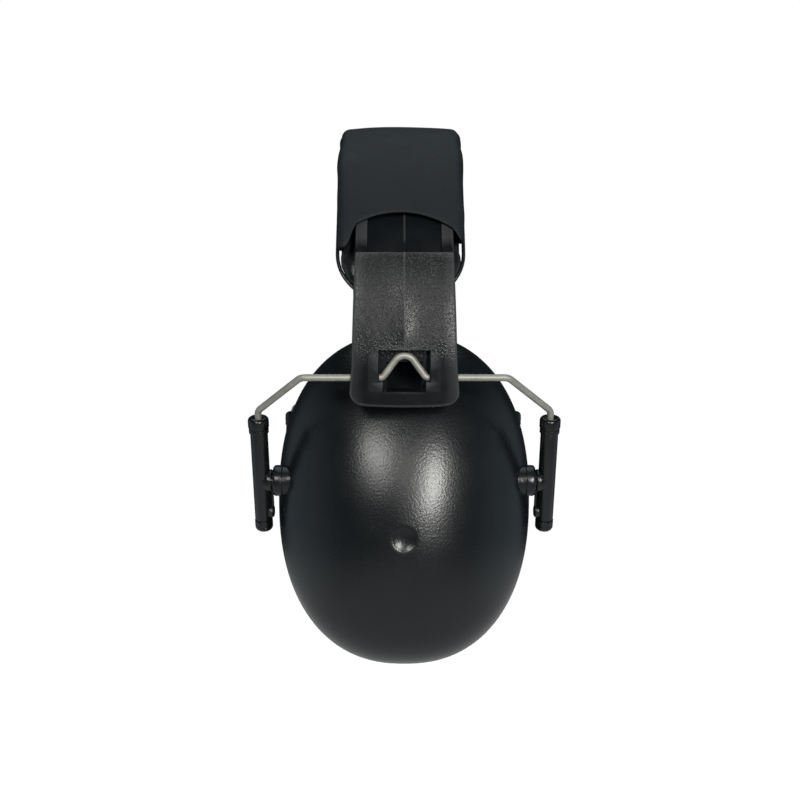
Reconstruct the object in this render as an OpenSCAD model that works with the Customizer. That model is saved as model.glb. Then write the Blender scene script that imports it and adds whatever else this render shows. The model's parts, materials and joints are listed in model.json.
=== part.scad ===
// Child-size passive hearing protection earmuffs: a sprung headband with a wrapped pad, and two
// ear cups, each hung in a bent wire yoke that folds, slides for height and lets the cup tilt.
//
// Origin: the middle of the crown pad's inner surface, where it rests on the head.
// +Z is up, +X is towards the wearer's left ear, and the wearer faces -Y. Millimetres.

/* [Headband] */
// Inner radius of the crown pad, the arch that the head sees
pad_inner_r = 57; // [54:0.5:66]
// Thickness of the pad under the band
pad_depth = 8; // [6:0.5:9]
// Thickness of the band above the step
band_t = 3.5; // [3:0.1:4]
// Thickness of the band's solid end blocks
block_t = 5; // [4.8:0.1:6]
// Height of the step where the end block begins
step_z = -36.7; // [-38:0.1:-34]
// Height of the band's lower edge
band_bottom_z = -80.7; // [-84:0.1:-80]
// Width of the band at the step
band_step_w = 28; // [24:0.5:30]
// Width of the band at its lower edge
band_end_w = 31.2; // [28:0.1:33]
// Width of the pad over the crown
pad_w = 37.5; // [35:0.5:42]

/* [Wire yoke] */
// Diameter of the spring wire
wire_d = 2; // [1.8:0.1:2.2]
// Height of the yoke's swing axis
swing_z = -72.1; // [-74:0.1:-71]
// Half of the straight run along the swing axis
yoke_half_run = 29.4; // [27:0.1:31]
// Distance of each slider tube's axis from the middle plane
tube_y = 43.2; // [42.5:0.1:46]
// Lean of the slider tubes, tops outward
tube_lean = 23; // [18:0.5:28]

/* [Ear cup] */
// Width of the cup's rim, front to back
cup_w = 77.6; // [72:0.2:77.6]
// Height of the cup's rim
cup_h = 102.4; // [94:0.2:104]
// Depth of the cup's dome
cup_depth = 28; // [24:0.5:29]
// Wall of the cup
cup_wall = 2.6; // [2:0.1:3]
// Distance of the cup's rim plane from the middle of the head
rim_x = 35; // [32:0.5:36]
// Height of the rim's centre
cup_z = -108.7; // [-112:0.1:-106]
// Thickness of the ear cushion below the rim plane
cushion_t = 15; // [12:0.5:16]

/* [Pivots] */
// Distance of the tilt axis from the middle of the head
pivot_x = 43.5; // [42:0.5:45]
// Height of the tilt axis
pivot_z = -102.8; // [-106:0.1:-100]

/* [Hidden] */

running_gap = 0.05;  // radial clearance of a turning or sliding fit
seat_gap = 0.1;      // clearance between pieces that are assembled and stay put
snug_gap = 0.02;     // clearance of a collar on its spigot, and overlap of the cup's hollow
reach = 200;         // longer than the whole object, for cutting shapes
cut = 10;            // deeper than any wall, for cutting through one
over = 1;            // how far a cutting shape passes the surface that it opens
smooth = 96;         // segments of a round preview
oval_points = 48;    // corners of each superellipse outline

// headband
arch_z = -pad_inner_r;                       // height of the arch's centre
band_inner_r = pad_inner_r + pad_depth;
band_outer_r = band_inner_r + band_t;
block_outer_r = band_outer_r + 0.6;
block_inner_r = block_outer_r - block_t;
step_angle = acos((step_z - arch_z) / block_outer_r);
leg_angle = 100;                             // where the arc becomes a straight leg, from the top
band_corner_r = 4;
channel_w = 21;                              // recessed panel between the two side rails
channel_depth = 0.8;

// crown pad: the cover's lower edges are cut to an arch at each end
pad_edge_r = 21.7;
pad_edge_z = -48.1;
cover_t = 1.3;
cover_lift = 1.5;                            // from the band's outer surface to the cover's
cover_outer_r = band_outer_r + cover_lift;
cover_end_angle = acos((step_z - arch_z) / cover_outer_r);
cover_wall_y = pad_w / 2 - 0.9;              // inner face of the cover's side walls
lining_t = 1.1;
lining_end_angle = 84;
lining_shoulder_z = -30;                     // where the lining starts to narrow to its tips
lining_tip_z = -54.5;
foam_end_angle = 70;
foam_inset = 4;                              // from the cover's lower edge to the foam's

// window for the yoke's crank
window_w = 14.3;
window_top_z = -64.6;
window_bottom_z = -76.1;
hole_w = 10;
hole_top_z = -67.6;
hole_bottom_z = -75;

// yoke
wire_r = wire_d / 2;
wire_bend_r = 3;
wire_sides = 16;
bend_step = 15;                              // degrees of bend from one ring of the wire to the next
wire_depth = 2.2;                            // wire axis below the block's outer surface
crank_gap = 0.3;                             // from the crank to the window's back wall, its stop
crank_foot_y = 6.2;
crank_peak_z = swing_z + 8.4;                // where the crank's two legs would meet
crank_bend_r = 3.2;
crank_foot_r = 1.6;
leg_dir = [-sin(leg_angle - 90), 0, -cos(leg_angle - 90)];
leg_normal = [-cos(leg_angle - 90), 0, sin(leg_angle - 90)];
leg_start = [block_outer_r * sin(leg_angle), 0, arch_z + block_outer_r * cos(leg_angle)];
swing_x = leg_start[0] + wire_depth * leg_normal[0]
    + leg_dir[0] * (swing_z - leg_start[2] - wire_depth * leg_normal[2]) / leg_dir[2];
crank_lean = leg_dir[0] / leg_dir[2];        // the crank lies parallel to the leg

// slider tubes: stations are distances along the tube, 0 at the pivot, positive downwards
tube_r = 2.62;
tube_bore_r = 1.75;
spigot_r = 2.2;
collar_r = 3.1;
collar_groove_r = 2.8;
collar_skirt_r = 2.95;
groove_top = -17.9;
groove_bottom = -17.4;
mouth_r = 2;                                 // countersunk mouth of the collar
mouth_depth = 1.4;
edge_chamfer = 0.3;
cap_r = 2.65;
cap_round = 1.9;
cap_plug = 1.6;                              // how far the cap reaches into the tube
collar_top = -21;
collar_bottom = -16.1;
shoulder = -18.3;
tube_bottom = 12.9;
cap_bottom = 16.9;
wire_end = 11;
elbow = -23;                                 // where the wire turns into the tube
stopper_len = 3;
stopper_r = 1.6;
hub_r = 3.4;
hub_inner_y = 39.9;
pin_r = 1.6;
pin_inner_y = 34.6;
pin_outer_y = 41.1;
nub_station = 10.5;
nub_r = 2;
nub_inner_y = 39.75;
strut_t = 0.9;

// cup
squareness = 2.3;                            // exponent of the superellipse
dome_drop = 7.3;                             // how far the dome's peak sits below its rim's centre
dome_rings = 10;
boss_r = 4.5;
boss_face_y = 39.6;
boss_root_y = 31;
dimple_z = -9.6;
dimple_r = 3.7;
dimple_depth = 0.8;
plate_t = 2;
plate_gap = 0.5;                             // from the base plate's edge to the cup's wall
ear_hole_w = 40;
ear_hole_h = 62;
hard_hole_extra = 2;                         // how much wider the hole is in the hard rings
ring_t = 1.8;
ring_inset = 2;                              // how much narrower the retaining ring is than the skin
skin_t = 0.8;
cushion_w = 75.6;
cushion_h = 100.4;
foam_pad_w = 50;
foam_pad_h = 68;
foam_pad_t = 10;
foam_pad_gap = 2;                            // from the base plate to the foam
foam_pad_z = -1.5;                           // height of its middle from the rim's centre

// outlines and placing

function signed_power(v, p) = sign(v) * pow(abs(v), p);
function oval(w, h) = [for (i = [0 : oval_points - 1]) let (a = 360 * i / oval_points)
    [w / 2 * signed_power(cos(a), 2 / squareness), h / 2 * signed_power(sin(a), 2 / squareness)]];
function unit(v) = v / norm(v);
function across(v) = unit(cross(abs(v[2]) < 0.9 ? [0, 0, 1] : [1, 0, 0], v));
// the triangles between rings of n points each, one ring after another
function skin(rings, n) = [for (k = [0 : rings - 2], i = [0 : n - 1])
    let (a = k * n + i, b = k * n + (i + 1) % n) each [[a, a + n, b + n], [a, b + n, b]]];

// a flat outline, drawn in X and Z, made into a slab of width w about the middle plane
module side_slab(w) {
    rotate([90, 0, 0]) linear_extrude(w, center = true) children();
}

// a flat outline, drawn in Y and Z, made into a plate from x0 to x1
module plate(x0, x1) {
    translate([x0, 0, 0]) rotate([90, 0, 90]) linear_extrude(x1 - x0) children();
}

module annulus(r_in, r_out) {
    difference() {
        circle(r_out, $fn = smooth);
        circle(r_in, $fn = smooth);
    }
}

// part of an annulus around the arch's centre, between two angles from the top, less than 180 apart
module arch_band(r_in, r_out, from, to) {
    middle = (from + to) / 2;
    translate([0, arch_z]) intersection() {
        annulus(r_in, r_out);
        polygon([[0, 0], for (a = [from, middle, to]) reach * [sin(a), cos(a)]]);
    }
}

module both_ends() {
    children();
    mirror([1, 0, 0]) children();
}

// a piece of the left cup, in the cup's own frame: x outward from the rim plane
module at_cup() {
    translate([rim_x, 0, cup_z]) children();
}

// a turned piece on a slider tube: its z axis runs down the tube, and y stays towards the rear
module at_tube(end) {
    translate([pivot_x, end * tube_y, pivot_z]) rotate([0, tube_lean, 0]) mirror([0, 0, 1]) children();
}

// a cylinder along Y between two distances from the middle plane, at the front or the rear
module cross_pin(r, y0, y1, end) {
    translate([0, end * y0, 0]) rotate([-90 * end, 0, 0]) cylinder(y1 - y0, r = r, $fn = smooth);
}

// headband and crown pad

module band_side_view() {
    arch_band(band_inner_r, band_outer_r, -step_angle, step_angle);
    both_ends() {
        arch_band(block_inner_r, block_outer_r, step_angle, leg_angle);
        outer = [leg_start[0], leg_start[2]];
        inner = outer + block_t * [leg_normal[0], leg_normal[2]];
        down = reach * [leg_dir[0], leg_dir[2]];
        polygon([outer, inner, inner + down, outer + down]);
    }
}

module band_front_view() {
    half_top = band_step_w / 2;
    half_end = band_end_w / 2;
    corner = [half_end - band_corner_r, band_bottom_z + band_corner_r];
    arc = [for (a = [0 : 15 : 90]) corner + band_corner_r * [cos(a), -sin(a)]];
    right = concat([[half_top, reach], [half_top, step_z]], arc);
    polygon(concat(right, [for (i = [len(right) - 1 : -1 : 0]) [-right[i][0], right[i][1]]]));
}

module crank_window() {
    translate([swing_x, 0, swing_z]) rotate([0, leg_angle - 90, 0]) {
        above = window_top_z - swing_z;
        below = window_bottom_z - swing_z;
        translate([-wire_r - crank_gap, -window_w / 2, below])
            cube([cut, window_w, above - below]);
        translate([-cut, -hole_w / 2, hole_bottom_z - swing_z])
            cube([2 * cut, hole_w, hole_top_z - hole_bottom_z]);
    }
}

module headband() {
    color("#2b2d2e") difference() {
        intersection() {
            side_slab(reach) band_side_view();
            plate(-reach / 2, reach / 2) band_front_view();
        }
        side_slab(channel_w)
            arch_band(band_outer_r - channel_depth, band_outer_r + over, -step_angle, step_angle);
        both_ends() {
            crank_window();
            translate([swing_x, 0, swing_z])
                cross_pin(wire_r + running_gap, -band_end_w, band_end_w, 1);
        }
    }
}

module pad_cover_outer() {
    color("#35383a") difference() {
        union() {
            side_slab(pad_w)
                arch_band(cover_outer_r - cover_t, cover_outer_r, -cover_end_angle, cover_end_angle);
            for (end = [-1, 1])
                translate([0, end * (cover_wall_y + pad_w / 2) / 2, 0])
                    side_slab(pad_w / 2 - cover_wall_y)
                        arch_band(pad_inner_r + lining_t + seat_gap, cover_outer_r,
                            -cover_end_angle, cover_end_angle);
        }
        translate([0, 0, pad_edge_z]) rotate([0, 90, 0])
            cylinder(reach, r = pad_edge_r, center = true, $fn = smooth);
    }
}

module pad_cover_lining() {
    half_w = pad_w / 2;
    tip = lining_shoulder_z - lining_tip_z;
    tongue = [for (a = [180 : 12 : 360]) [half_w * cos(a), lining_shoulder_z + tip * sin(a)]];
    color("#1b1c1d") intersection() {
        side_slab(pad_w)
            arch_band(pad_inner_r, pad_inner_r + lining_t, -lining_end_angle, lining_end_angle);
        plate(-reach / 2, reach / 2)
            polygon(concat([[-half_w, reach]], tongue, [[half_w, reach]]));
    }
}

module pad_foam() {
    color("#4a4a4c") difference() {
        side_slab(2 * (cover_wall_y - seat_gap))
            arch_band(pad_inner_r + lining_t + seat_gap, cover_outer_r - cover_t - seat_gap,
                -foam_end_angle, foam_end_angle);
        side_slab(band_step_w + seat_gap)
            arch_band(band_inner_r, cover_outer_r, -cover_end_angle, cover_end_angle);
        translate([0, 0, pad_edge_z]) rotate([0, 90, 0])
            cylinder(reach, r = pad_edge_r - foam_inset, center = true, $fn = smooth);
    }
}

// wire yoke

// the corners of a route, each rounded to its own radius
function rounded(corners, radii) = [for (i = [0 : len(corners) - 1])
    each radii[i] == 0 ? [corners[i]] : corner_arc(corners[i], corners[i - 1], corners[i + 1], radii[i])];
function corner_arc(corner, before, after, r) =
    let (into = unit(corner - before), out = unit(after - corner), turn = acos(into * out),
        inward = unit(out - into * (into * out)),
        centre = corner - into * r * tan(turn / 2) + inward * r,
        steps = ceil(turn / bend_step))
    [for (k = [0 : steps]) let (a = turn * k / steps) centre + r * (into * sin(a) - inward * cos(a))];
function heading(route, i) =
    let (last = len(route) - 1, before = route[max(i - 1, 0)], after = route[min(i + 1, last)])
    unit((i == 0 ? [0, 0, 0] : unit(route[i] - before)) + (i == last ? [0, 0, 0] : unit(after - route[i])));
function without(v, along) = unit(v - along * (v * along));

// a round wire along a route of points
module wire_along(route, r) {
    last = len(route) - 1;
    ways = [for (i = [0 : last]) heading(route, i)];
    sides = [for (i = 0, n = across(ways[0]); i <= last;
        n = i < last ? without(n, ways[i + 1]) : n, i = i + 1) n];
    points = [for (i = [0 : last], k = [0 : wire_sides - 1]) let (a = 360 * k / wire_sides)
        route[i] + r * (sides[i] * cos(a) + cross(ways[i], sides[i]) * sin(a))];
    ring = [for (k = [0 : wire_sides - 1]) k];
    far_ring = [for (k = [wire_sides - 1 : -1 : 0]) last * wire_sides + k];
    polyhedron(points, concat([ring], skin(last + 1, wire_sides), [far_ring]));
}

function on_tube(station, y) =
    [pivot_x - station * sin(tube_lean), y, pivot_z - station * cos(tube_lean)];

module yoke_wire() {
    peak = [swing_x + (crank_peak_z - swing_z) * crank_lean, 0, crank_peak_z];
    rear = [on_tube(wire_end, tube_y), on_tube(elbow, tube_y), [swing_x, yoke_half_run, swing_z],
        [swing_x, crank_foot_y, swing_z]];
    front = [for (i = [3 : -1 : 0]) [rear[i][0], -rear[i][1], rear[i][2]]];
    half_radii = [0, wire_bend_r, wire_bend_r, crank_foot_r];
    radii = concat(half_radii, [crank_bend_r], [for (i = [3 : -1 : 0]) half_radii[i]]);
    color("#c9cac6") wire_along(rounded(concat(rear, [peak], front), radii), wire_r);
}

module wire_stopper(end) {
    color("#b9b7ae") at_tube(end) translate([0, 0, wire_end - stopper_len]) difference() {
        cylinder(stopper_len, r = stopper_r, $fn = smooth);
        translate([0, 0, -over]) cylinder(stopper_len + 2 * over, r = wire_r, $fn = smooth);
    }
}

// slider tubes

module at_hub(end) {
    translate([pivot_x, 0, pivot_z]) rotate([0, tube_lean, 0]) children();
}

module slider_tube(end) {
    color("#1f2021") difference() {
        union() {
            at_tube(end) translate([0, 0, shoulder])
                cylinder(tube_bottom - shoulder, r = tube_r, $fn = smooth);
            at_hub() {
                cross_pin(hub_r, hub_inner_y, tube_y, end);
                translate([0, 0, -nub_station]) cross_pin(nub_r, nub_inner_y, tube_y, end);
                translate([-strut_t / 2, min(end * nub_inner_y, end * (nub_inner_y + strut_t)),
                    -nub_station]) cube([strut_t, strut_t, nub_station]);
            }
        }
        at_tube(end) {
            translate([0, 0, shoulder - over])
                cylinder(tube_bottom - shoulder + 2 * over, r = tube_bore_r, $fn = smooth);
            translate([0, 0, shoulder - over]) difference() {
                cylinder(collar_bottom - shoulder + over, r = tube_r + over, $fn = smooth);
                cylinder(collar_bottom - shoulder + over, r = spigot_r, $fn = smooth);
            }
        }
        at_hub() cross_pin(pin_r + running_gap, hub_inner_y - over, pin_outer_y + seat_gap, end);
    }
}

module tube_collar(end) {
    color("#191a1b") at_tube(end) rotate_extrude($fn = smooth) polygon([
        [wire_r + running_gap, shoulder], [wire_r + running_gap, collar_top + mouth_depth],
        [mouth_r, collar_top], [collar_r - edge_chamfer, collar_top],
        [collar_r, collar_top + edge_chamfer], [collar_r, groove_top],
        [collar_groove_r, groove_top], [collar_groove_r, groove_bottom],
        [collar_skirt_r, groove_bottom], [collar_skirt_r, collar_bottom],
        [spigot_r + snug_gap, collar_bottom], [spigot_r + snug_gap, shoulder]]);
}

module tube_cap(end) {
    plug_top = tube_bottom - cap_plug;
    round_top = cap_bottom - cap_round;
    dome_points = [for (a = [0 : 15 : 90]) [cap_r * cos(a), round_top + cap_round * sin(a)]];
    color("#191a1b") at_tube(end) rotate_extrude($fn = smooth) polygon(concat(
        [[0, plug_top], [tube_bore_r, plug_top], [tube_bore_r, tube_bottom], [cap_r, tube_bottom]],
        dome_points));
}

module pivot_pin(end) {
    color("#9d9d98") translate([pivot_x, 0, pivot_z]) cross_pin(pin_r, pin_inner_y, pin_outer_y, end);
}

// ear cup

// closed dome on the rim plane, its rings shrinking towards a peak that sits low
module dome(w, h, depth) {
    n = oval_points;
    points = concat(
        [for (k = [0 : dome_rings - 1]) let (f = 90 * k / dome_rings, rise = sin(f))
            for (p = oval(w * cos(f), h * cos(f))) [depth * rise, p[0], p[1] - dome_drop * rise * rise]],
        [[depth, 0, -dome_drop]]);
    crown = [for (i = [0 : n - 1]) let (a = (dome_rings - 1) * n)
        [a + i, dome_rings * n, a + (i + 1) % n]];
    polyhedron(points, concat([[for (i = [0 : n - 1]) i]], skin(dome_rings, n), crown));
}

module cup_shell() {
    dimple_ball_r = (dimple_r * dimple_r + dimple_depth * dimple_depth) / (2 * dimple_depth);
    color("#17191b") difference() {
        union() {
            at_cup() dome(cup_w, cup_h, cup_depth);
            for (end = [-1, 1])
                translate([pivot_x, 0, pivot_z]) cross_pin(boss_r, boss_root_y, boss_face_y, end);
        }
        at_cup() difference() {
            translate([-snug_gap, 0, 0])
                dome(cup_w - 2 * cup_wall, cup_h - 2 * cup_wall, cup_depth - cup_wall);
            for (end = [-1, 1]) translate([pivot_x - rim_x, 0, pivot_z - cup_z])
                cross_pin(boss_r, boss_root_y, boss_face_y, end);
        }
        for (end = [-1, 1]) translate([pivot_x, 0, pivot_z])
            cross_pin(pin_r + running_gap, pin_inner_y - seat_gap, boss_face_y + over, end);
        at_cup() translate([cup_depth + dimple_ball_r - dimple_depth, 0, dimple_z])
            sphere(dimple_ball_r, $fn = smooth);
    }
}

// a flat ring with superellipse edges, from x0 to x1 in the cup's frame
module oval_ring(w, h, hole_w, hole_h, x0, x1) {
    at_cup() plate(x0, x1) difference() {
        polygon(oval(w, h));
        polygon(oval(hole_w, hole_h));
    }
}

module base_plate() {
    inset = 2 * (cup_wall + plate_gap);
    color("#26282a") oval_ring(cup_w - inset, cup_h - inset,
        ear_hole_w + hard_hole_extra, ear_hole_h + hard_hole_extra, 0, plate_t);
}

module acoustic_foam() {
    color("#3c3c3e") at_cup() translate([0, 0, foam_pad_z])
        plate(plate_t + foam_pad_gap, plate_t + foam_pad_gap + foam_pad_t)
            polygon(oval(foam_pad_w, foam_pad_h));
}

module cushion_ring() {
    color("#202224") oval_ring(cushion_w - ring_inset, cushion_h - ring_inset,
        ear_hole_w + hard_hole_extra, ear_hole_h + hard_hole_extra, -ring_t, 0);
}

module cushion_skin() {
    color("#1c1d1f") difference() {
        oval_ring(cushion_w, cushion_h, ear_hole_w, ear_hole_h, -cushion_t, -ring_t);
        cushion_core(-cushion_t + skin_t, 0, 0);
    }
}

module cushion_foam() {
    color("#565658") cushion_core(-cushion_t + skin_t, -ring_t, seat_gap);
}

module cushion_core(x0, x1, gap) {
    wall = 2 * (skin_t + gap);
    oval_ring(cushion_w - wall, cushion_h - wall, ear_hole_w + wall, ear_hole_h + wall, x0, x1);
}

// one ear's pieces are made on the left and mirrored for the right

module piece(name, end) {
    if (name == "yoke_wire") yoke_wire();
    if (name == "wire_stopper") wire_stopper(end);
    if (name == "slider_tube") slider_tube(end);
    if (name == "tube_collar") tube_collar(end);
    if (name == "tube_cap") tube_cap(end);
    if (name == "pivot_pin") pivot_pin(end);
    if (name == "cup_shell") cup_shell();
    if (name == "base_plate") base_plate();
    if (name == "acoustic_foam") acoustic_foam();
    if (name == "cushion_ring") cushion_ring();
    if (name == "cushion_foam") cushion_foam();
    if (name == "cushion_skin") cushion_skin();
}

headband();
pad_cover_outer();
pad_cover_lining();
pad_foam();

for (name = ["yoke_wire", "cup_shell", "base_plate", "acoustic_foam", "cushion_ring", "cushion_foam",
        "cushion_skin"]) {
    piece(name, 0);
    mirror([1, 0, 0]) piece(name, 0);
}

for (name = ["wire_stopper", "slider_tube", "tube_collar", "tube_cap", "pivot_pin"])
    for (place = [["front_", -1], ["rear_", 1]]) {
        piece(name, place[1]);
        mirror([1, 0, 0]) piece(name, place[1]);
    }
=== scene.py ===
import json
import math

import bmesh
import bpy
from mathutils import Matrix, Vector, noise


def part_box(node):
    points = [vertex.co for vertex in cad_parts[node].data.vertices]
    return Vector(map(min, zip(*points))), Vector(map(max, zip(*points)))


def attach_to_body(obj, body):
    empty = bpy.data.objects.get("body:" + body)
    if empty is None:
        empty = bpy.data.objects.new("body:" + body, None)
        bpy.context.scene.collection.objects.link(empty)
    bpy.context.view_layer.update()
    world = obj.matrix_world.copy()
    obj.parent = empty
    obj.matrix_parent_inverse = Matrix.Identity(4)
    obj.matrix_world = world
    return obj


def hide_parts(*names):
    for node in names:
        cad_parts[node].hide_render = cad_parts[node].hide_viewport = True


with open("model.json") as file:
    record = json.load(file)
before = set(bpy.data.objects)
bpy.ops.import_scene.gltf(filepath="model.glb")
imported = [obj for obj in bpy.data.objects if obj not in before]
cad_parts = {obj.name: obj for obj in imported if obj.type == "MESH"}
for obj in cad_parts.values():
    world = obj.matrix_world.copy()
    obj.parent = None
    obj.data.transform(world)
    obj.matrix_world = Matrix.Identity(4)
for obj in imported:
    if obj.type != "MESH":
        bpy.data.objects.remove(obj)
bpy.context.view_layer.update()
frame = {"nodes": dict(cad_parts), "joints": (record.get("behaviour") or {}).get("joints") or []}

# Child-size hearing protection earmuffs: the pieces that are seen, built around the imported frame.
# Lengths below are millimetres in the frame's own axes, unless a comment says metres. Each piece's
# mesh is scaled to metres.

MM = 0.001
X, Y = Vector((1, 0, 0)), Vector((0, 1, 0))


def box_mm(node):
    low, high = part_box(node)
    return low / MM, high / MM


def joint(name):
    return next(j for j in frame["joints"] if j["name"] == name)


# ---------------------------------------------------------------- sizes taken from the frame

band_low, band_high = box_mm("headband")
cup_low, cup_high = box_mm("left_cup_shell")
cushion_low, cushion_high = box_mm("left_cushion_skin")
plate_low, plate_high = box_mm("left_base_plate")
retainer_low, retainer_high = box_mm("left_cushion_ring")
absorber_low, absorber_high = box_mm("left_acoustic_foam")
tube_high = box_mm("left_rear_slider_tube")[1]
cover_low, cover_high = box_mm("pad_cover_outer")

SWING = Vector(joint("left_yoke_swing")["pos_m"]) / MM
PIVOT = Vector(joint("left_cup_tilt")["pos_m"]) / MM
PIVOT_MIDDLE = Vector((PIVOT.x, 0, PIVOT.z))
TUBE_UP = Vector(joint("left_height_slide")["axis"]).normalized()
TUBE_R = 2.62
TUBE_Y = tube_high.y - TUBE_R

ARCH_Z = -57.0                          # centre of the headband's arch
BAND_R = band_high.z - ARCH_Z           # outer surface above the step
BLOCK_R = band_high.x                   # outer surface of the end blocks
BAND_T = 3.5
BLOCK_T = 5.0
STEP_Z = -36.7
LEG_ANGLE = 100.0                       # degrees from the top, where the arc turns into a leg
BAND_STEP_W = 28.0
BAND_CORNER_R = 4.0
BAND_END_W = band_high.y - band_low.y
CHANNEL = 10.5                          # half the width between the rails
CHANNEL_DEPTH = 0.8
BAND_EDGE_R = 0.8                       # rounding of the band's outer edges and of its ends
BAND_INNER_EDGE_R = 0.5
PAD_Y = -1.1                            # the sleeve of the pad sits a little to the front
PAD_HALF = (cover_high.y - cover_low.y) / 2 - 0.45
PAD_TOP_R = cover_high.z - ARCH_Z
PAD_BOTTOM_R = -ARCH_Z
PAD_WELD_R = PAD_BOTTOM_R + 3.6         # where the lining's two sheets are welded together
COVER_ARCH_R = 25.0                     # radius of the arch cut into each end of the cover
COVER_THICKNESS = 1.15

CUP_CENTRE = Vector((cup_low.x, 0, (cup_low.z + cup_high.z) / 2))
CUP_HALF_W = (cushion_high.y - cushion_low.y) / 2 + 1
CUP_HALF_H = (cup_high.z - cup_low.z) / 2
CUP_DEPTH = cup_high.x - cup_low.x
CUP_WALL = 2.6
CUP_DROP = 7.3                          # how far the dome's peak sits below the rim's centre
OVAL_POWER = 2 / 2.3
EAR_HALF_W = 20.0
EAR_HALF_H = 31.0
WIRE_R = 1.0
PIN_HOLE_R = 1.65
TUBE_BORE_R = 1.75


# ---------------------------------------------------------------- mesh helpers

def wave(point, size, seed=0.0):
    """Smooth random value from about -1 to 1 with features of the given size."""
    return noise.noise(Vector(point) / size + Vector((seed * 7.3, seed * 3.1, seed * 5.7)))


def smoothstep(value, start, end):
    t = min(max((value - start) / (end - start), 0.0), 1.0)
    return t * t * (3 - 2 * t)


def shade(piece, angle=35):
    """Outward normals, smooth faces, and sharp edges where the surface turns by more than angle."""
    bm = bmesh.new()
    bm.from_mesh(piece.data)
    bmesh.ops.remove_doubles(bm, verts=bm.verts, dist=1e-7)
    bmesh.ops.dissolve_degenerate(bm, edges=bm.edges, dist=1e-8)
    bmesh.ops.recalc_face_normals(bm, faces=bm.faces)
    bm.to_mesh(piece.data)
    bm.free()
    piece.data.polygons.foreach_set("use_smooth", [True] * len(piece.data.polygons))
    piece.data.set_sharp_from_angle(angle=math.radians(angle))
    return piece


def new_piece(name, points, faces, angle=35):
    mesh = bpy.data.meshes.new(name)
    mesh.from_pydata([tuple(Vector(p) * MM) for p in points], [], faces)
    piece = bpy.data.objects.new(name, mesh)
    bpy.context.scene.collection.objects.link(piece)
    return shade(piece, angle)


def loft(rings, closed=False):
    """Points and faces of a skin over rings of equal length, with its ends capped if it's open."""
    n, count = len(rings[0]), len(rings)
    faces = []
    for k in range(count if closed else count - 1):
        a, b = k * n, (k + 1) % count * n
        faces += [(a + i, a + (i + 1) % n, b + (i + 1) % n, b + i) for i in range(n)]
    if not closed:
        faces += [tuple(reversed(range(n))), tuple(range((count - 1) * n, count * n))]
    return [p for ring in rings for p in ring], faces


def rounded(corners, radii, closed=False, step=12):
    """A route or outline whose corners are arcs. A radius of 0 keeps its corner."""
    points, last = [], len(corners) - 1
    for i, (corner, radius) in enumerate(zip(corners, radii)):
        corner = Vector(corner)
        if radius == 0 or (not closed and i in (0, last)):
            points.append(corner)
            continue
        into = (corner - Vector(corners[i - 1])).normalized()
        out = (Vector(corners[(i + 1) % len(corners)]) - corner).normalized()
        turn = math.acos(max(-1.0, min(1.0, into.dot(out))))
        inward = (out - into * into.dot(out)).normalized()
        centre = corner - into * radius * math.tan(turn / 2) + inward * radius
        count = max(2, math.ceil(math.degrees(turn) / step))
        for k in range(count + 1):
            a = turn * k / count
            points.append(centre + radius * (into * math.sin(a) - inward * math.cos(a)))
    return points


def lathe(name, profile, origin, axis, segments=72):
    """Turns a closed outline of (radius, distance along the axis) around the axis."""
    side = (Y if abs(axis.dot(Y)) < 0.9 else X).cross(axis).normalized()
    other = axis.cross(side)
    rings = []
    for k in range(segments):
        a = 2 * math.pi * k / segments
        radial = side * math.cos(a) + other * math.sin(a)
        rings.append([origin + axis * p[1] + radial * p[0] for p in profile])
    return new_piece(name, *loft(rings, closed=True))


def turned(name, corners, radii, origin, axis, segments=72):
    return lathe(name, rounded(corners, radii, closed=True, step=22), origin, axis, segments)


def plug(radius, start, end):
    """The profile of a plain round plug, for lathe."""
    return [(0, start), (radius, start), (radius, end), (0, end)]


def sweep(name, route, radius, sides=28, longest=3.0):
    """A round rod along a route of points, with no two rings further apart than longest."""
    points = [route[0]]
    for a, b in zip(route, route[1:]):
        count = max(1, math.ceil((b - a).length / longest))
        points += [a.lerp(b, k / count) for k in range(1, count + 1)]
    rings, side = [], None
    for i, p in enumerate(points):
        way = (points[min(i + 1, len(points) - 1)] - points[max(i - 1, 0)]).normalized()
        side = (side or (X if abs(way.x) < 0.9 else Y))
        side = (side - way * side.dot(way)).normalized()
        other = way.cross(side)
        angles = [2 * math.pi * k / sides for k in range(sides)]
        rings.append([p + radius * (side * math.cos(a) + other * math.sin(a)) for a in angles])
    return new_piece(name, *loft(rings))


def apply_modifiers(piece):
    graph = bpy.context.evaluated_depsgraph_get()
    mesh = bpy.data.meshes.new_from_object(piece.evaluated_get(graph), depsgraph=graph)
    piece.modifiers.clear()
    old = piece.data
    piece.data = mesh
    bpy.data.meshes.remove(old)


def combine(piece, other, operation, angle=35):
    """UNION or DIFFERENCE with another piece, which is used up."""
    change = piece.modifiers.new("combine", "BOOLEAN")
    change.operation = operation
    change.solver = "EXACT"
    change.object = other
    apply_modifiers(piece)
    bpy.data.objects.remove(other)
    return shade(piece, angle)


def mirrored(piece, name, axis):
    mesh = piece.data.copy()
    mesh.name = name
    mesh.transform(Matrix.Scale(-1, 4, axis))
    mesh.flip_normals()
    copy = bpy.data.objects.new(name, mesh)
    bpy.context.scene.collection.objects.link(copy)
    return copy


def attach(piece, body, nodes, material):
    piece.data.materials.clear()
    piece.data.materials.append(material)
    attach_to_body(piece, body)
    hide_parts(*nodes)


def both_sides(piece, part, body, nodes, material):
    """The left piece and its mirror image on the right. Names are given without left_ or right_."""
    pair = {"left": piece, "right": mirrored(piece, "right_" + part, X)}
    for side, each in pair.items():
        attach(each, f"{side}_{body}", [f"{side}_{n}" for n in nodes], material)
    return list(pair.values())


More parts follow.
